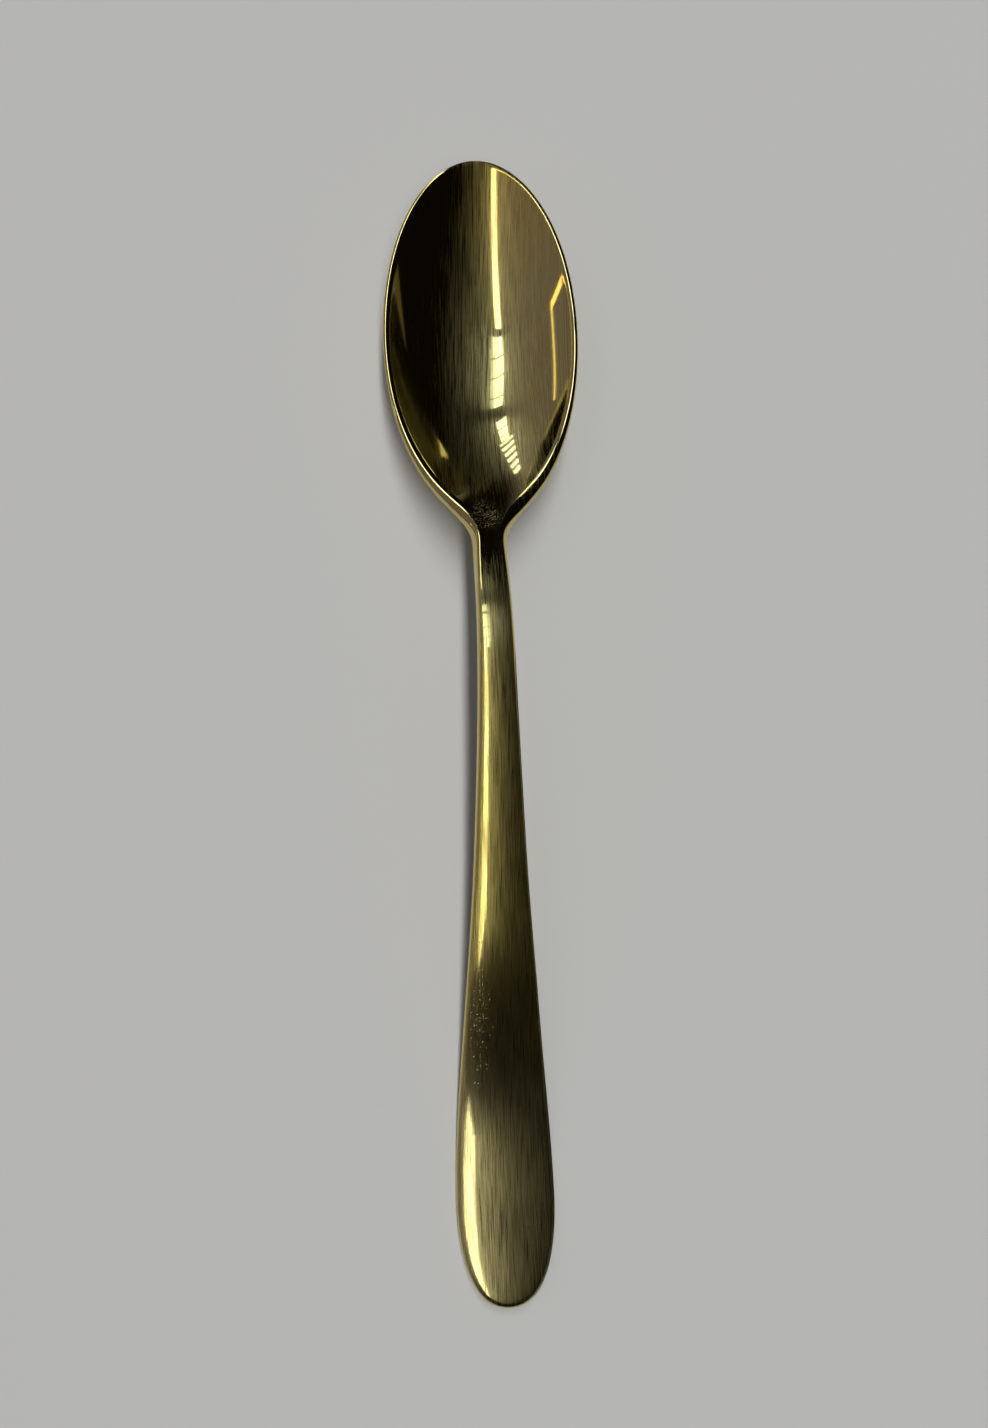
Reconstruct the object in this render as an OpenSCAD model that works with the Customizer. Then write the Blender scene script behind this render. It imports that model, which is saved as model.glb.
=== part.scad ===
// Tablespoon: a dished oval bowl and a slender handle that rises out of the
// bowl's heel, arches over and widens into a rounded paddle.
// Length runs along Y (bowl tip at +Y), width along X, +Z up, millimetres.
// The origin is on the table, under the middle of the spoon's box.

/* [Overall] */
// Overall length, bowl tip to handle end
spoon_l = 205; // [195:1:215]

/* [Bowl] */
// Length of the bowl's oval, tip to heel
bowl_l = 68; // [64:1:72]
// Width of the bowl across the rim
bowl_w = 36.2; // [34:0.2:42]
// Depth of the hollow, rim to floor
bowl_d = 9.5; // [8:0.5:10.5]
// Metal thickness at the rim
rim_t = 1.3; // [1:0.1:1.6]
// Metal thickness at the bottom of the bowl
floor_t = 1.9; // [1.6:0.1:2.2]

/* [Handle] */
// Width of the neck at its narrowest
neck_w = 6; // [5.4:0.1:7]
// Width of the paddle at its widest
paddle_w = 16.5; // [14:0.5:20]
// Thickness of the neck
neck_t = 3.2; // [2.8:0.1:3.6]
// Thickness of the paddle near its end, without the crown
paddle_t = 1.5; // [1.4:0.1:1.8]
// Height of the handle's arch above the table, at the middle of the metal
arch_h = 17; // [15.5:0.1:18.5]
// Crown of the paddle's upper face, edge to middle
crown = 0.95; // [0.6:0.05:1.2]

/* [Mesh] */
// Steps across the width of each face
across = 18; // [12:2:24]
// Rings along the bowl
bowl_rings = 36; // [28:1:44]
// Rings along the handle
handle_rings = 34; // [26:1:44]

/* [Hidden] */

split_s = 90;                    // station at the top of the arch, where bowl and handle meet
bw = bowl_w / 2;
front = bowl_l / 2;              // half length of the oval ahead of its widest place
back = front * 1.06;             // and behind it: a slightly longer tail
nw = neck_w / 2;
pw = paddle_w / 2;
end_cap = 19;                    // length of the paddle's rounded end
step = 15;                       // spacing of the design stations, in mm
tuck = 0.09;                     // the tip's rolled edge is drawn back to the nominal length

// Design stations every 15 mm, from one step before the bowl tip to one past
// the handle end. Heights are those of the middle of the metal, set so that
// the bowl's floor and the paddle's underside just reach the table.
low = bowl_d + floor_t / 2 - 0.92;
pad = paddle_t / 2 - 0.36;
rise = arch_h - pad;
height_st = [low + 5, low + 4.4, low + 3.4, low + 1.6, low, low + 0.8,
    pad + rise * 0.7, pad + rise * 1.05, pad + rise * 0.975, pad + rise * 0.84,
    pad + rise * 0.645, pad + rise * 0.445, pad + rise * 0.165,
    pad - 0.1, pad + 0.6, pad + 2.4];
width_st = [nw, nw, nw, nw, nw, nw, nw, nw + 0.1, nw + 0.4, nw + 1, nw + 1.7, nw + 2.9,
    pw - 1.1, pw + 0.2, pw + 0.3, pw + 0.3];
gain = neck_t - rim_t;
fall = paddle_t - rim_t;
thick_st = [0, 0, 0, 0, 0, gain * 0.5, gain * 1.1, gain, gain * 0.85, gain * 0.7,
    gain * 0.6, fall + 0.4, fall + 0.2, fall, fall, fall];
crown_st = [0, 0, 0, 0, 0, 0, crown * 0.05, crown * 0.45, crown * 0.55, crown * 0.62,
    crown * 0.72, crown * 0.86, crown, crown, crown, crown];

// Cubic blending weight, and a smooth curve through a row of stations
function blend3(t) = let (a = abs(t))
    a < 1 ? 2 / 3 - a * a + a * a * a / 2 : a < 2 ? pow(2 - a, 3) / 6 : 0;
function clampi(i, n) = min(max(i, 0), n - 1);
function along(st, s) = let (p = s * 205 / spoon_l / step + 1, i0 = floor(p) - 1)
    [for (k = [0:3]) blend3(p - (i0 + k)) * st[clampi(i0 + k, len(st))]] * [1, 1, 1, 1];
function ease(t) = let (c = min(max(t, 0), 1)) c * c * c * (c * (6 * c - 15) + 10);
function soft_max(a, b, k) = let (h = max(k - abs(a - b), 0) / k) max(a, b) + h * h * h * k / 6;

// Square of the half width at station s, measured back from the bowl tip:
// an oval, drawn out a little at the heel, that runs into the neck through a
// fillet, and a rounded paddle end
function oval2(s) = let (
        t = min(pow((s - front) / (s < front ? front : back), 2), 2),
        b = pow(back / front, 2))
    bw * bw * (1 - (s < front ? t : t * (b - (b - 1) * t)));
function cap(s) = let (d = (s - (spoon_l - end_cap)) / end_cap)
    d <= 0 ? 1 : d >= 1 ? 0 : pow(1 - pow(d, 2.4), 1 / 2.4);
function shank2(s) = pow(along(width_st, s) * cap(s), 2);
function half2(s) = s < front ? oval2(s) : soft_max(oval2(s), shank2(s), 110);
function half2_d(s) = (half2(min(s + 0.01, spoon_l)) - half2(max(s - 0.01, 0)))
    / (min(s + 0.01, spoon_l) - max(s - 0.01, 0));

// Middle surface of the metal
function fade(s) = 1 - ease((s - bowl_l) / 20);
function fill(x, s) = min(max((half2(s) - x * x) / (bw * bw), 0), 1) * fade(s);
function mid(x, s) = along(height_st, s) - bowl_d * (1 - pow(1 - fill(x, s), 1.15));

// Half thickness, rounded off towards every edge: a full round along the rim,
// squarer along the neck, a wide soft roll round the paddle
function soft(s) = ease((s - 140) / 45);
function metal(x, s) = rim_t + (floor_t - rim_t) * fill(x, s) + along(thick_st, s);
function edge_gap(x, s) = max(half2(s) - x * x, 0)
    / (2 * sqrt(x * x + pow(half2_d(s) / 2, 2)) + 0.0001);
function half_t(x, s) = let (
        t = metal(x, s),
        v = max(1 - edge_gap(x, s) / ((0.46 + 0.3 * soft(s)) * t), 0),
        p = 2 + 1.6 * (1 - fade(s)) * (1 - soft(s)))
    t / 2 * pow(max(1 - pow(v, p), 0), 1 / p);

// A point of the skin: side = 1 above, -1 below
function skin(x, s, side) = let (
        e = 0.05,
        w = sqrt(half2(s)),
        gx = (mid(min(x + e, w), s) - mid(max(x - e, -w), s)) / (min(x + e, w) - max(x - e, -w) + 0.000001),
        lo = max(s - e, 0), hi = min(s + e, spoon_l),
        gy = -(mid(x, hi) - mid(x, lo)) / (hi - lo) * fade(s),
        n = [-gx, -gy, 1] / sqrt(1 + gx * gx + gy * gy),
        h = half_t(x, s),
        up = side > 0 ? along(crown_st, s) * cap(s) * max(1 - x * x / max(w * w, 0.01), 0) : 0)
    [x, spoon_l / 2 - s - tuck * (1 - ease(s / 12)), mid(x, s)] + n * side * h + [0, 0, up];

function ring(s) = let (w = sqrt(half2(s))) [for (k = [0:2 * across - 1])
    skin(w * cos(180 * k / across), s, k <= across ? 1 : -1)];

// Stations of the rings: close together round the tip and the paddle's end
function bowl_at(i) = let (u = i / bowl_rings)
    split_s * (0.45 * (1 - cos(90 * u)) + 0.55 * u * u * (1.6 - 0.6 * u));
function handle_at(i) = let (u = i / handle_rings)
    split_s + (spoon_l - split_s) * (0.5 * sin(90 * u) + 0.5 * (1 - pow(1 - u, 2)));

// A closed skin over rings from a pointed tip to a flat end
module skinned(tip, rings, flip) {
    m = 2 * across;
    n = len(rings);
    pts = [tip, for (r = rings) for (p = r) p];
    tip_f = [for (k = [0:m - 1]) [0, 1 + k, 1 + (k + 1) % m]];
    side_f = [for (i = [0:n - 2]) for (k = [0:m - 1])
        let (a = 1 + i * m + k, b = 1 + i * m + (k + 1) % m, c = b + m, d = a + m)
        for (f = [[a, d, c], [a, c, b]]) f];
    end_f = [[for (k = [m - 1:-1:0]) 1 + (n - 1) * m + k]];
    faces = concat(tip_f, side_f, end_f);
    polyhedron(pts, flip ? [for (f = faces) [for (k = [len(f) - 1:-1:0]) f[k]]] : faces, convexity = 6);
}

// Everything below the table is rubbed away to a small flat
module rubbed() {
    difference() {
        children();
        translate([-40, -spoon_l, -10]) cube([80, 2 * spoon_l, 10]);
    }
}

module bowl() {
    color([0.62, 0.5, 0.28])
        rubbed()
            skinned([0, spoon_l / 2 - tuck, mid(0, 0)],
                [for (i = [1:bowl_rings]) ring(bowl_at(i))], false);
}

module handle() {
    color([0.66, 0.54, 0.3])
        rubbed()
            skinned([0, -spoon_l / 2, mid(0, spoon_l)],
                [for (i = [handle_rings - 1:-1:0]) ring(handle_at(i))], true);
}

bowl();
handle();
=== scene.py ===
import math

import bpy
import numpy as np
from mathutils import Matrix, Vector


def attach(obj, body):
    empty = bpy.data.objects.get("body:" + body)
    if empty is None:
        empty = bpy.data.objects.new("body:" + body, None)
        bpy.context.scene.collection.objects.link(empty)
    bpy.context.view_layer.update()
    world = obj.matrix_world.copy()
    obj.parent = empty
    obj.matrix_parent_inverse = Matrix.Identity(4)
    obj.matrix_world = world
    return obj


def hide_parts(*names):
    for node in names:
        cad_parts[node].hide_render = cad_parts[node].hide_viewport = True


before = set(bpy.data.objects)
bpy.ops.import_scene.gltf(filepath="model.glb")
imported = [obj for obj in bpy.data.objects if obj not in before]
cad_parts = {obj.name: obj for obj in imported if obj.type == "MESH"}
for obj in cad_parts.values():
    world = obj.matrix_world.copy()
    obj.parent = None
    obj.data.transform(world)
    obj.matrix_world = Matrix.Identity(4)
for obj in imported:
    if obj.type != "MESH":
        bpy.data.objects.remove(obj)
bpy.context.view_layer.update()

SCENE = bpy.context.scene
MM = 0.001

# ---------------------------------------------------------------------------
# Form of the spoon, in millimetres: the same rules as the solid model, sampled
# much more finely. s is the station measured back from the bowl's tip.
# ---------------------------------------------------------------------------
SPOON_L, SPLIT = 205.0, 90.0
BOWL_L, BOWL_W, BOWL_D, RIM_T, FLOOR_T = 68.0, 36.2, 9.5, 1.3, 1.9
NECK_W, PADDLE_W, NECK_T, PADDLE_T = 6.0, 16.5, 3.2, 1.5
ARCH_H, CROWN, END_CAP, STEP, TUCK = 17.0, 0.95, 19.0, 15.0, 0.09

BW, FRONT = BOWL_W / 2, BOWL_L / 2
BACK = FRONT * 1.06
NW, PW = NECK_W / 2, PADDLE_W / 2
LOW = BOWL_D + FLOOR_T / 2 - 0.92
PAD = PADDLE_T / 2 - 0.36
RISE = ARCH_H - PAD
GAIN, FALL = NECK_T - RIM_T, PADDLE_T - RIM_T

HEIGHT_ST = np.array(
    [LOW + 5, LOW + 4.4, LOW + 3.4, LOW + 1.6, LOW, LOW + 0.8]
    + [PAD + RISE * f for f in (0.7, 1.05, 0.975, 0.84, 0.645, 0.445, 0.165)]
    + [PAD - 0.1, PAD + 0.6, PAD + 2.4])
WIDTH_ST = np.array([NW] * 7 + [NW + 0.1, NW + 0.4, NW + 1, NW + 1.7, NW + 2.9, PW - 1.1, PW + 0.2, PW + 0.3, PW + 0.3])
THICK_ST = np.array([0, 0, 0, 0, 0] + [GAIN * f for f in (0.5, 1.1, 1, 0.85, 0.7, 0.6)]
                    + [FALL + 0.4, FALL + 0.2, FALL, FALL, FALL])
CROWN_ST = CROWN * np.array([0, 0, 0, 0, 0, 0, 0.05, 0.45, 0.55, 0.62, 0.72, 0.86, 1, 1, 1, 1])


def along(st, s):
    p = np.asarray(s, float) / STEP + 1
    i0 = np.floor(p).astype(int) - 1
    out = 0.0
    for k in range(4):
        a = np.abs(p - (i0 + k))
        w = np.where(a < 1, 2 / 3 - a * a + a ** 3 / 2, np.where(a < 2, np.maximum(2 - a, 0) ** 3 / 6, 0))
        out = out + w * st[np.clip(i0 + k, 0, len(st) - 1)]
    return out


def ease(t):
    c = np.clip(t, 0, 1)
    return c ** 3 * (c * (6 * c - 15) + 10)


def cap(s):
    d = np.clip((s - (SPOON_L - END_CAP)) / END_CAP, 0, 1)
    return np.maximum(1 - d ** 2.4, 0) ** (1 / 2.4)


def half2(s):
    s = np.asarray(s, float)
    t = np.minimum(((s - FRONT) / np.where(s < FRONT, FRONT, BACK)) ** 2, 2)
    q = (BACK / FRONT) ** 2
    a = BW * BW * (1 - np.where(s < FRONT, t, t * (q - (q - 1) * t)))
    b = (along(WIDTH_ST, s) * cap(s)) ** 2
    h = np.maximum(110 - np.abs(a - b), 0) / 110
    return np.where(s < FRONT, a, np.maximum(a, b) + h ** 3 * 110 / 6)


def half2_d(s):
    hi, lo = np.minimum(s + 0.01, SPOON_L), np.maximum(s - 0.01, 0)
    return (half2(hi) - half2(lo)) / (hi - lo)


def fade(s):
    return 1 - ease((s - BOWL_L) / 20)


def fill(x, s):
    return np.clip((half2(s) - x * x) / (BW * BW), 0, 1) * fade(s)


def mid(x, s):
    return along(HEIGHT_ST, s) - BOWL_D * (1 - (1 - fill(x, s)) ** 1.15)


def half_t(x, s):
    t = RIM_T + (FLOOR_T - RIM_T) * fill(x, s) + along(THICK_ST, s)
    gap = np.maximum(half2(s) - x * x, 0) / (2 * np.sqrt(x * x + (half2_d(s) / 2) ** 2) + 1e-4)
    soft = ease((s - 140) / 45)              # a wider, softer roll round the paddle
    v = np.maximum(1 - gap / ((0.46 + 0.3 * soft) * t), 0)
    p = 2 + 1.6 * (1 - fade(s)) * (1 - soft)
    return t / 2 * np.maximum(1 - v ** p, 0) ** (1 / p)


def skin(x, s, side):
    e = 0.05
    w = np.sqrt(np.maximum(half2(s), 0))
    xh, xl = np.minimum(x + e, w), np.maximum(x - e, -w)
    gx = (mid(xh, s) - mid(xl, s)) / (xh - xl + 1e-6)
    lo, hi = np.maximum(s - e, 0), np.minimum(s + e, SPOON_L)
    gy = -(mid(x, hi) - mid(x, lo)) / (hi - lo) * fade(s)
    n = np.sqrt(1 + gx * gx + gy * gy)
    h = half_t(x, s) * side
    up = np.where(side > 0, along(CROWN_ST, s) * cap(s) * np.maximum(1 - x * x / np.maximum(w * w, 0.01), 0), 0)
    y = SPOON_L / 2 - s - TUCK * (1 - ease(s / 12))
    z = np.maximum(mid(x, s) + h / n + up, 0.0)      # rubbed flat where it rests
    return np.stack([x - gx / n * h, y - gy / n * h, z], -1)


# ---------------------------------------------------------------------------
# Meshes
# ---------------------------------------------------------------------------
N = 80                                   # steps across each face


def ring_stations(a, b, count):
    """Stations from the rounded end a (tip or handle end) to b, close together at a."""
    u = np.linspace(0, 1, count + 1)[1:]
    return a + (b - a) * (0.42 * (1 - np.cos(np.pi / 2 * u)) + 0.58 * u * u * (1.7 - 0.7 * u))


def build_piece(name, stations, tip, flip):
    k = np.arange(2 * N)
    S = np.repeat(stations[:, None], 2 * N, 1)
    W = np.sqrt(np.maximum(half2(S), 0))
    X = W * np.cos(np.pi * k / N)[None]
    side = np.where(k <= N, 1.0, -1.0)[None] * np.ones_like(S)
    P = skin(X, S, side)
    rings, m = len(stations), 2 * N
    verts = np.concatenate([np.array([tip]), P.reshape(-1, 3)]) * MM
    ids = 1 + np.arange(rings * m).reshape(rings, m)
    faces = [(0, int(ids[0, j]), int(ids[0, (j + 1) % m])) for j in range(m)]
    nxt = np.roll(ids, -1, 1)
    quads = np.stack([ids[:-1], ids[1:], nxt[1:], nxt[:-1]], -1).reshape(-1, 4)
    faces += [tuple(q) for q in quads.tolist()]
    last = ids[-1]
    first_end = len(faces)
    for j in range(N):
        a, b, c, d = last[j], last[j + 1], last[(m - j - 1) % m], last[(m - j) % m]
        faces.append(tuple(int(q) for q in dict.fromkeys((d, c, b, a))))
    if flip:
        faces = [tuple(reversed(f)) for f in faces]
    mesh = bpy.data.meshes.new(name)
    mesh.from_pydata(verts.tolist(), [], faces)
    mesh.validate()
    # a length-wise map: u across the width, v along the spoon; it gives the brushing its direction
    uv = mesh.uv_layers.new(name="brush")
    vu = np.concatenate([[0.5], (0.5 + X / 40.0).ravel()])
    vv = np.concatenate([[tip[1] / 205.0 + 0.5], (P[..., 1] / 205.0 + 0.5).ravel()])
    loops = np.zeros(len(mesh.loops), np.int32)
    mesh.loops.foreach_get("vertex_index", loops)
    uv.data.foreach_set("uv", np.stack([vu[loops], vv[loops]], -1).astype(np.float32).ravel())
    smooth = np.ones(len(mesh.polygons), bool)
    smooth[first_end:] = False
    mesh.polygons.foreach_set("use_smooth", smooth)
    ring_last = set(int(q) for q in last)
    for e in mesh.edges:
        if e.vertices[0] in ring_last and e.vertices[1] in ring_last:
            e.use_edge_sharp = True
    mesh.update()
    obj = bpy.data.objects.new(name, mesh)
    SCENE.collection.objects.link(obj)
    return obj


bowl = build_piece("spoon_bowl", ring_stations(0.0, SPLIT, 330), [0, SPOON_L / 2 - TUCK, float(mid(0.0, 0.0))], False)
handle = build_piece("spoon_handle", ring_stations(SPOON_L, SPLIT, 300), [0, -SPOON_L / 2, float(mid(0.0, SPOON_L))], True)


# ---------------------------------------------------------------------------
# Gold-tone steel, polished and then brushed along its length
# ---------------------------------------------------------------------------
def new_material(name):
    m = bpy.data.materials.new(name)
    m.use_nodes = True
    m.node_tree.nodes.clear()
    return m, m.node_tree.nodes, m.node_tree.links


class Tree:
    def __init__(self, nodes, links):
        self.n, self.l = nodes, links

    def add(self, kind, **props):
        node = self.n.new(kind)
        for key, value in props.items():
            setattr(node, key, value)
        return node

    def put(self, value, socket):
        if isinstance(value, bpy.types.NodeSocket):
            self.l.new(value, socket)
        else:
            socket.default_value = value

    def math(self, op, a, b=0.0, c=0.0, clamp=False):
        node = self.add("ShaderNodeMath", operation=op, use_clamp=clamp)
        for socket, value in zip(node.inputs, (a, b, c)):
            self.put(value, socket)
        return node.outputs[0]

    def mul(self, a, b):
        return self.math("MULTIPLY", a, b)

    def plus(self, a, b):
        return self.math("ADD", a, b)

    def ramp(self, value, a, b, to_a=0.0, to_b=1.0, smooth=True):
        node = self.add("ShaderNodeMapRange", interpolation_type="SMOOTHSTEP" if smooth else "LINEAR", clamp=True)
        for name, v in (("Value", value), ("From Min", a), ("From Max", b), ("To Min", to_a), ("To Max", to_b)):
            self.put(v, node.inputs[name])
        return node.outputs[0]

    def noise(self, vector, scale, detail=2.0, rough=0.5):
        node = self.add("ShaderNodeTexNoise", noise_dimensions="3D")
        self.put(vector, node.inputs["Vector"])
        node.inputs["Scale"].default_value = scale
        node.inputs["Detail"].default_value = detail
        node.inputs["Roughness"].default_value = rough
        return node.outputs[0]

    def stretch(self, vector, sx, sy, sz, shift=(0, 0, 0), turn=0.0):
        node = self.add("ShaderNodeMapping")
        self.put(vector, node.inputs["Vector"])
        node.inputs["Scale"].default_value = (sx, sy, sz)
        node.inputs["Rotation"].default_value = (0, 0, turn)
        node.inputs["Location"].default_value = shift
        return node.outputs[0]

    def mix(self, fac, a, b, kind="MIX"):
        node = self.add("ShaderNodeMix", data_type="RGBA", blend_type=kind)
        self.put(fac, node.inputs[0])
        self.put(a, node.inputs[6])
        self.put(b, node.inputs[7])
        return node.outputs[2]

    def spot(self, x, y, cx, cy, rx, ry, inner, outer):
        """1 inside an oval place on the metal, 0 outside it."""
        dx = self.math("DIVIDE", self.math("SUBTRACT", x, cx), rx)
        dy = self.math("DIVIDE", self.math("SUBTRACT", y, cy), ry)
        r = self.math("SQRT", self.plus(self.mul(dx, dx), self.mul(dy, dy)))
        return self.ramp(r, inner, outer, 1.0, 0.0)


def gold_steel(name, bowl_part):
    m, nodes, links = new_material(name)
    t = Tree(nodes, links)
    out = t.add("ShaderNodeOutputMaterial")
    bsdf = t.add("ShaderNodeBsdfPrincipled", distribution="GGX")
    links.new(bsdf.outputs[0], out.inputs[0])
    pos = t.add("ShaderNodeTexCoord").outputs["Object"]
    xyz = t.add("ShaderNodeSeparateXYZ")
    links.new(pos, xyz.inputs[0])
    x, y, z = xyz.outputs

    # brushing along Y: polished lands and grooves much finer than the eye sees, and
    # lines at three widths where there are more or fewer grooves. The turn after the
    # stretch keeps the noise's own grid from showing as steps along the lines.
    hair = t.noise(t.stretch(pos, 47000, 120, 0, (2.2, 9.1, 4.0), 0.52), 1.0, 0.0, 0.5)
    fine = t.noise(t.stretch(pos, 9200, 36, 0, (0.4, 2.6, 1.3), 0.47), 1.0, 1.0, 0.5)
    medium = t.noise(t.stretch(pos, 2700, 18, 0, (7.3, 1.1, 2.9), 0.55), 1.0, 1.5, 0.5)
    broad = t.noise(t.stretch(pos, 700, 7, 0, (3.1, 5.7, 8.3), 0.50), 1.0, 1.0, 0.5)
    cloud = t.noise(t.stretch(pos, 95, 40, 60, (1.7, 4.4, 0.6)), 1.0, 3.0, 0.55)
    grain = t.plus(t.mul(fine, 0.64), t.plus(t.mul(medium, 0.26), t.mul(broad, 0.10)))
    # the same along the whole neck, so that nothing shows where the two pieces meet
    neck = t.ramp(y, 0.034, 0.020)
    sway = t.plus(0.40, t.mul(neck, -0.20))
    share = t.plus(t.plus(hair, t.mul(t.math("SUBTRACT", grain, 0.5), sway)), t.plus(0.018, t.mul(neck, 0.065)))

    # colour: gold with a green cast that drifts a little along the spoon, darker in the
    # grooves, browner in cloudy places
    tone = t.mix(t.ramp(y, 0.080, 0.099), (0.72, 0.620, 0.245, 1), (0.76, 0.600, 0.185, 1))
    tone = t.mix(t.ramp(y, 0.030, -0.030), tone, (0.73, 0.605, 0.185, 1))
    tone = t.mix(t.ramp(y, -0.048, -0.072), tone, (0.71, 0.625, 0.285, 1))
    groove = t.mix(neck, (0.70, 0.68, 0.62, 1), (0.87, 0.85, 0.79, 1))
    # the upright edges are polished: there the lines would run down the metal as blots
    tilt = t.add("ShaderNodeSeparateXYZ")
    links.new(t.add("ShaderNodeTexCoord").outputs["Normal"], tilt.inputs[0])
    flat = t.ramp(t.math("ABSOLUTE", tilt.outputs[2]), 0.25, 0.60)
    shade = t.plus(0.5, t.mul(flat, t.math("SUBTRACT", t.ramp(grain, 0.34, 0.66), 0.5)))
    tone = t.mix(shade, tone, groove, "MULTIPLY")
    tone = t.mix(t.ramp(cloud, 0.40, 0.75, 0.0, 0.25), tone, (0.60, 0.475, 0.175, 1))

    # how far the brushing goes: the whole handle and the middle of the bowl; hardly any
    # on the bowl's walls and where the bowl runs into the neck
    if bowl_part:
        middle = t.plus(0.002, t.ramp(y, 0.072, 0.100, 0.0, 0.004))
        brushed = t.ramp(t.math("ABSOLUTE", t.math("SUBTRACT", x, middle)), 0.0055, 0.0150, 1.0, 0.0)
        brushed = t.mul(brushed, t.ramp(y, 0.0310, 0.0440))
        brushed = t.math("MAXIMUM", brushed, t.ramp(y, 0.0300, 0.0135))
        brushed = t.mul(brushed, flat)
    else:
        brushed = flat
    share = t.plus(share, t.mul(t.math("SUBTRACT", brushed, 1.0), 0.33))
    lines =t.ramp(share, 0.525, 0.585)
    rough = t.plus(0.05, t.mul(lines, 0.238))

    # worn places: real scuffs, with painted shade darkening each oval
    if bowl_part:
        # cloudy scuffed patch where the bowl runs into the neck; the dark brown over the whole oval is painted shade, a
        # dark reflection painted into the colour
        scuff_and_shade_area = t.spot(x, y, -0.0008, 0.0336, 0.0034, 0.0044, 0.20, 1.20)
        speck = t.noise(t.stretch(pos, 3600, 3600, 3600), 1.0, 3.0, 0.65)
        patch = t.mul(scuff_and_shade_area, t.ramp(speck, 0.46, 0.66))
        # painted shade: the whole oval is darkened to dark brown, standing in for a dark reflection at the heel
        tone = t.mix(scuff_and_shade_area, tone, (0.34, 0.27, 0.12, 1))
        tone = t.mix(t.mul(patch, 0.8), tone, (0.50, 0.40, 0.19, 1))
        rough = t.math("ADD", rough, t.mul(patch, 0.44), clamp=True)
    else:
        # rubbed strip along the left of the handle's slope: specks and short slanting scratches, over a little painted
        # shade
        scuff_and_shade_area = t.spot(x, y, -0.0040, -0.0560, 0.0031, 0.0170, 0.0, 1.10)
        speck = t.noise(t.stretch(pos, 3300, 3700, 3300), 1.0, 2.0, 0.6)
        turned = t.add("ShaderNodeMapping")
        links.new(pos, turned.inputs["Vector"])
        turned.inputs["Rotation"].default_value = (0, 0, 0.6)
        nick = t.noise(t.stretch(turned.outputs[0], 9000, 900, 0, (4.1, 0.7, 3.3)), 1.0, 1.0, 0.5)
        # small short dents of mixed sizes that throw back glints, thinning out from the middle
        dents = t.add("ShaderNodeTexVoronoi", voronoi_dimensions="2D", feature="F1")
        links.new(t.stretch(pos, 1900, 3600, 1, (0.3, 0.8, 0.1)), dents.inputs["Vector"])
        dents.inputs["Scale"].default_value = 1.0
        pick = t.add("ShaderNodeSeparateColor")
        links.new(dents.outputs["Color"], pick.inputs[0])
        keep = t.ramp(t.plus(pick.outputs[0], t.mul(scuff_and_shade_area, 0.34)), 0.99, 1.01)
        size = t.plus(0.12, t.mul(pick.outputs[1], 0.22))
        dent = t.mul(t.mul(keep, size), t.ramp(dents.outputs["Distance"], size, 0.0))
        dot = t.mul(keep, t.ramp(dents.outputs["Distance"], size, t.mul(size, 0.6)))
        haze = t.mul(scuff_and_shade_area, t.math("MAXIMUM", t.ramp(speck, 0.585, 0.65), t.ramp(nick, 0.64, 0.70)))
        # painted shade: the oval is darkened a little towards dark brown, standing in for a dark reflection there
        tone = t.mix(t.mul(scuff_and_shade_area, 0.30), tone, (0.30, 0.24, 0.10, 1))
        tone = t.mix(t.math("MAXIMUM", dot, t.mul(haze, 0.4)), tone, (0.99, 0.86, 0.38, 1))
        rough = t.math("ADD", rough, t.mul(haze, 0.35), clamp=True)
        rough = t.plus(t.mul(rough, t.math("SUBTRACT", 1.0, dot)), t.mul(dot, 0.16))
        patch = t.plus(t.mul(dent, 13.0), t.mul(haze, 0.5))

    # fine relief: the brushing and the scuffs
    height = t.plus(t.mul(t.mul(grain, brushed), 0.5), patch)
    bump = t.add("ShaderNodeBump")
    bump.inputs["Strength"].default_value = 1.0
    bump.inputs["Distance"].default_value = 2.5e-6
    links.new(height, bump.inputs["Height"])

    links.new(tone, bsdf.inputs["Base Color"])
    links.new(rough, bsdf.inputs["Roughness"])
    links.new(bump.outputs[0], bsdf.inputs["Normal"])
    bsdf.inputs["Metallic"].default_value = 1.0
    bsdf.inputs["Anisotropic"].default_value = 0.88
    tangent = t.add("ShaderNodeTangent", direction_type="UV_MAP", uv_map="brush")
    links.new(tangent.outputs[0], bsdf.inputs["Tangent"])
    return m


bowl.data.materials.append(gold_steel("gold_steel_bowl", True))
handle.data.materials.append(gold_steel("gold_steel_handle", False))
for piece, node in ((bowl, "bowl"), (handle, "handle")):
    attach(piece, "root")
    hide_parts(node)


# ---------------------------------------------------------------------------
# Stage: a pale floor and a plain backdrop
# ---------------------------------------------------------------------------
def plain(name, colour, rough):
    m, nodes, links = new_material(name)
    t = Tree(nodes, links)
    out = t.add("ShaderNodeOutputMaterial")
    bsdf = t.add("ShaderNodeBsdfPrincipled")
    links.new(bsdf.outputs[0], out.inputs[0])
    bsdf.inputs["Base Color"].default_value = colour
    bsdf.inputs["Roughness"].default_value = rough
    bsdf.inputs["Specular IOR Level"].default_value = 0.1
    return m


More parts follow.
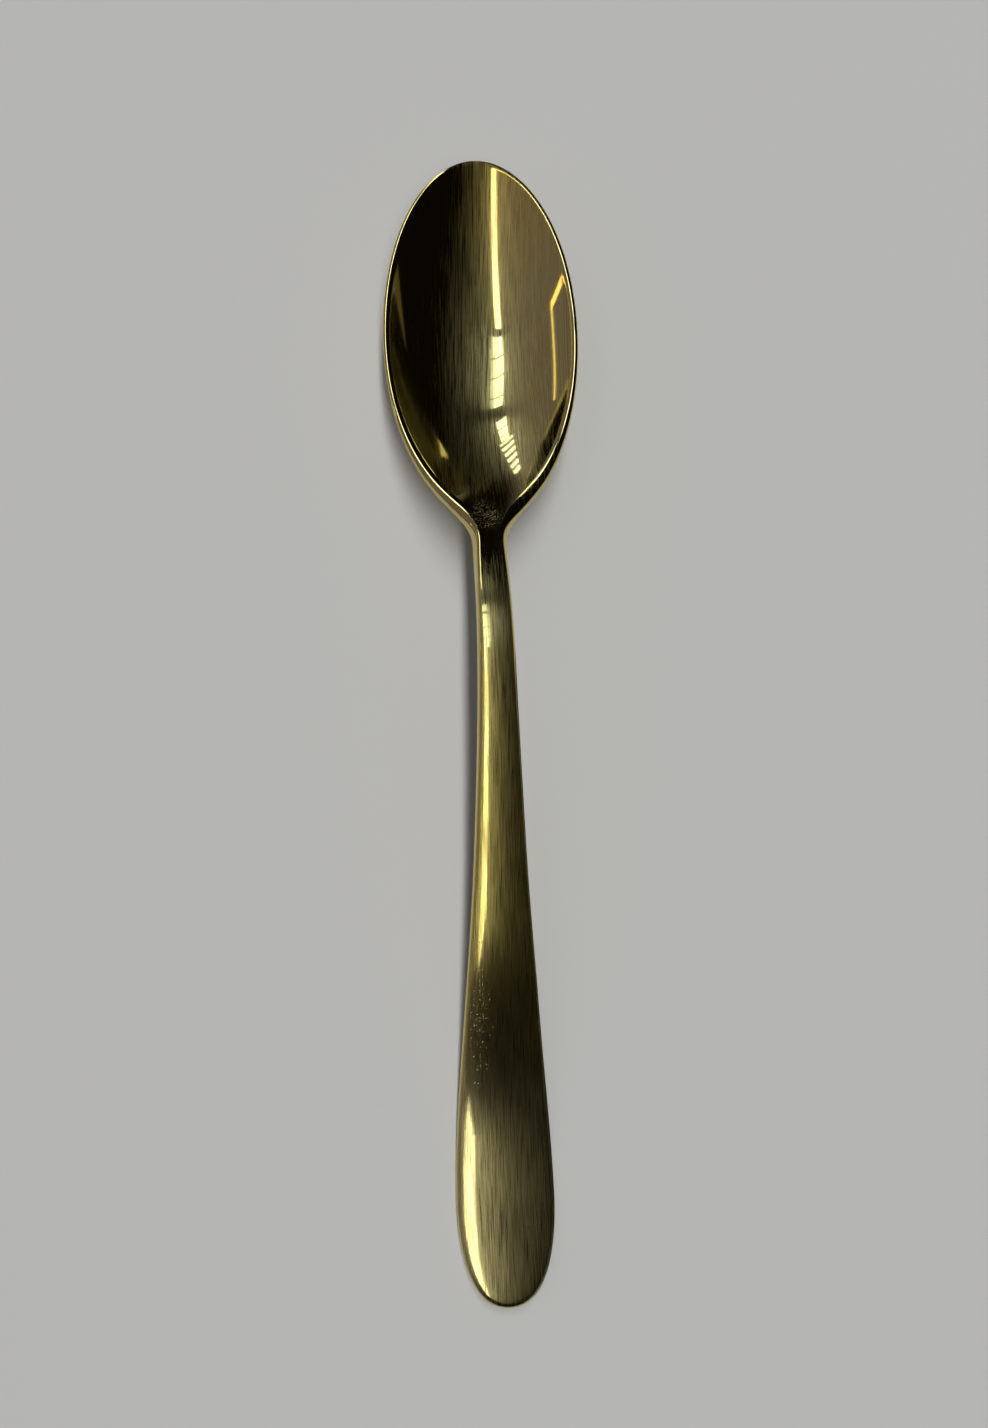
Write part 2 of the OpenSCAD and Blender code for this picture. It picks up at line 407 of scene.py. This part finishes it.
fm = bpy.data.meshes.new("floor")
R = 6.0
fm.from_pydata([(-R, -R, 0), (R, -R, 0), (R, R, 0), (-R, R, 0)], [], [(0, 1, 2, 3)])
floor = bpy.data.objects.new("floor", fm)
SCENE.collection.objects.link(floor)
WALL_TONE = (0.36, 0.36, 0.37, 1)              # tone of the backdrop
paper = plain("floor_paper", (0.62, 0.625, 0.605, 1), 0.9)
pt = Tree(paper.node_tree.nodes, paper.node_tree.links)
pb = next(n for n in paper.node_tree.nodes if n.type == "BSDF_PRINCIPLED")
reach = pt.add("ShaderNodeVectorMath", operation="LENGTH")
pt.put(pt.add("ShaderNodeTexCoord").outputs["Object"], reach.inputs[0])
far = pt.ramp(reach.outputs["Value"], 0.55, 1.7)       # the far floor runs into the backdrop's tone
pt.put(pt.mix(far, (0.62, 0.625, 0.605, 1), (0, 0, 0, 1)), pb.inputs["Base Color"])
pb.inputs["Emission Color"].default_value = WALL_TONE
pt.put(far, pb.inputs["Emission Strength"])
fm.materials.append(paper)


# ---------------------------------------------------------------------------
# Light
# ---------------------------------------------------------------------------
def panel(name, centre, long_axis, normal, length, width, radiance, colour, glossy=True, diffuse=True):
    """A rectangular panel: its length along long_axis, shining along normal."""
    light = bpy.data.lights.new(name, "AREA")
    light.shape = "RECTANGLE"
    light.size, light.size_y = length, width
    light.energy = radiance * math.pi * length * width
    light.color = colour
    obj = bpy.data.objects.new(name, light)
    zc = -Vector(normal).normalized()
    xc = (Vector(long_axis) - zc * Vector(long_axis).dot(zc)).normalized()
    yc = zc.cross(xc)
    obj.matrix_world = Matrix.Translation(Vector(centre)) @ Matrix((xc, yc, zc)).transposed().to_4x4()
    obj.visible_camera = False
    obj.visible_glossy = glossy
    obj.visible_diffuse = diffuse
    SCENE.collection.objects.link(obj)
    return obj


H = 0.90                                  # height of the reflected bank
DOWN = (0, 0, -1)


def bank(name, ends, half_w, radiance, colour, gaps):
    """Panels in a row between two (x, y) ends, with dark gaps (place, width) along y."""
    (x0, y0), (x1, y1) = ends
    edges = [y0]
    for g, w in gaps:
        edges += [g - w / 2, g + w / 2]
    edges.append(y1)
    for i in range(0, len(edges), 2):
        a, b = edges[i], edges[i + 1]
        f = lambda q: x0 + (x1 - x0) * (q - y0) / (y1 - y0)
        c = ((f(a) + f(b)) / 2, (a + b) / 2, H)
        axis = (f(b) - f(a), b - a, 0)
        panel("%s_%d" % (name, i // 2), c, axis, DOWN, math.hypot(axis[0], axis[1]), 2 * half_w, radiance, colour, True, False)


NEUTRAL, COOL = (1.0, 0.985, 0.93), (0.94, 1.0, 1.15)
bank("bank_a", ((-0.260, -0.500), (-0.222, 0.235)), 0.052, 4.3, NEUTRAL, [])
for i in range(6):                        # its end runs out to a point
    half, y_end = 0.052 - 0.008 * (i + 1), -0.500 - 0.024 * i
    bank("bank_a_end%d" % i, ((-0.318 + half, y_end - 0.024), (-0.316 + half, y_end)), half, 4.3, NEUTRAL, [])
bank("bank_b", ((-0.205, 0.235), (-0.230, 0.780)), 0.080, 4.2, COOL,
     [(0.329, 0.008), (0.446, 0.010), (0.642, 0.014)])
# a dimmer run beside it, narrower at its near end
bank("bank_b_side", ((-0.0928, 0.285), (-0.1155, 0.780)), 0.0345, 1.6, COOL,
     [(0.329, 0.008), (0.446, 0.010), (0.642, 0.014)])
bank("bank_b_near", ((-0.1070, 0.235), (-0.1093, 0.285)), 0.018, 1.6, COOL, [])
bank("bank_c", ((-0.305, 1.050), (-0.480, 1.720)), 0.110, 4.2, COOL,
     [(1.271, 0.030), (1.520, 0.030)])
bank("bank_d", ((-0.510, 1.760), (-1.700, 5.370)), 0.200, 4.2, COOL,
     [(1.918, 0.142), (2.253, 0.187), (2.706, 0.259), (3.362, 0.385), (4.293, 0.434)])
# a thin lamp on the left, low down, bent at its near end
panel("tube_left", (-0.8165, 0.487, 0.275), (0.144, 0.533, -0.250), (0.85, -0.40, -0.27), 0.470, 0.018, 1.6, (1.0, 0.84, 0.34), True, False)
panel("tube_bend", (-0.9125, 0.264, 0.3315), (0.043, 0.024, 0.111), (0.93, -0.19, -0.32), 0.130, 0.028, 2.4, (1.0, 0.66, 0.26), True, False)


def dark_bar(name, z, stations):
    """A flat black bar that only reflections show, through stations (x, y, half width)."""
    bar_mesh = bpy.data.meshes.new(name)
    verts = [(sx, sy + side * half, z) for sx, sy, half in stations for side in (-1, 1)]
    bar_mesh.from_pydata(verts, [], [(2 * i, 2 * i + 2, 2 * i + 3, 2 * i + 1) for i in range(len(stations) - 1)])
    bar_mesh.materials.append(plain(name + "_black", (0.0, 0.0, 0.0, 1), 1.0))
    bar = bpy.data.objects.new(name, bar_mesh)
    SCENE.collection.objects.link(bar)
    for flag in ("visible_camera", "visible_diffuse", "visible_shadow"):
        setattr(bar, flag, False)
    return bar


dark_bar("cross_bar", 0.129, [(-0.060, 0.0955, 0.0016), (0.020, 0.0943, 0.0016)])
dark_bar("side_flag", 0.0004, [(0.005, -0.046, 0.058), (0.105, -0.046, 0.058)])
# what lights the floor: a long overhead key and a wide soft fill
panel("floor_key", (0.13, 0.20, 2.40), (0, 1, 0), DOWN, 4.4, 0.26, 15.0, (1.0, 0.995, 0.985), False, True)
panel("floor_fill", (0.0, 0.0, 3.60), (0, 1, 0), DOWN, 8.0, 8.0, 0.10, (1.0, 1.0, 1.0), False, True)

world = bpy.data.worlds.new("studio")
SCENE.world = world
world.use_nodes = True
wn, wl = world.node_tree.nodes, world.node_tree.links
wn.clear()
wt = Tree(wn, wl)
wout = wt.add("ShaderNodeOutputWorld")
bg = wt.add("ShaderNodeBackground")
wl.new(bg.outputs[0], wout.inputs[0])
direction = wt.add("ShaderNodeTexCoord").outputs["Generated"]
sep = wt.add("ShaderNodeSeparateXYZ")
wl.new(direction, sep.inputs[0])
dx, dy, dz = sep.outputs
left = wt.mul(wt.ramp(dx, -0.12, -0.42, 0.0, 1.0), wt.ramp(dy, -0.66, -0.45, 0.15, 1.0))
colour = wt.mix(left, (0.004, 0.0035, 0.003, 1), (0.175, 0.155, 0.185, 1))
aside = wt.math("SUBTRACT", dy, 0.35)
low_top = wt.plus(0.152, wt.mul(wt.mul(aside, aside), -1.7))
low_right = wt.mul(wt.ramp(wt.math("SUBTRACT", dz, low_top), 0.006, -0.006, 0.0, 1.0), wt.ramp(dx, 0.30, 0.45, 0.0, 1.0))
colour = wt.mix(low_right, colour, (0.10, 0.078, 0.040, 1))
colour = wt.mix(wt.ramp(dz, 0.11, 0.0), colour, (0.20, 0.195, 0.19, 1))   # pale towards the horizon
wl.new(colour, bg.inputs["Color"])
bg.inputs["Strength"].default_value = 1.0

# backdrop that only the camera sees, so that low views end in a plain pale tone
bm_ = bpy.data.meshes.new("backdrop")
segs = 48
ring_v = [(5.0 * math.cos(2 * math.pi * i / segs), 5.0 * math.sin(2 * math.pi * i / segs), zz) for zz in (-0.2, 5.0) for i in range(segs)]
bm_.from_pydata(ring_v, [], [(i, (i + 1) % segs, segs + (i + 1) % segs, segs + i) for i in range(segs)])
backdrop = bpy.data.objects.new("backdrop", bm_)
SCENE.collection.objects.link(backdrop)
mb, nb, lb = new_material("backdrop_paper")
tb = Tree(nb, lb)
ob = tb.add("ShaderNodeOutputMaterial")
em = tb.add("ShaderNodeEmission")
em.inputs["Color"].default_value = WALL_TONE
lb.new(em.outputs[0], ob.inputs[0])
bm_.materials.append(mb)
for flag in ("visible_diffuse", "visible_glossy", "visible_transmission", "visible_volume_scatter", "visible_shadow"):
    setattr(backdrop, flag, False)

# ---------------------------------------------------------------------------
# Camera at the photograph's viewing angle; the image is 988 by 1428
# ---------------------------------------------------------------------------
cam_data = bpy.data.cameras.new("camera")
cam = bpy.data.objects.new("camera", cam_data)
SCENE.collection.objects.link(cam)
right_v = Vector((0.99477, -0.0342, 0.09628)).normalized()
fwd_v = right_v.cross(Vector((-0.01766, -0.98569, -0.16765))).normalized()
up_v = right_v.cross(fwd_v).normalized()
rot = Matrix((right_v, up_v, -fwd_v)).transposed()
cam.matrix_world = Matrix.Translation(Vector((-18.906, -33.743, 193.997)) * MM) @ rot.to_4x4()
cam_data.sensor_fit = "HORIZONTAL"
cam_data.sensor_width = 36.0
cam_data.lens = 36.0 * 1066.0 / 988.0
cam_data.clip_start, cam_data.clip_end = 0.01, 50.0
SCENE.camera = cam

SCENE.view_settings.view_transform = "Standard"
SCENE.view_settings.look = "None"
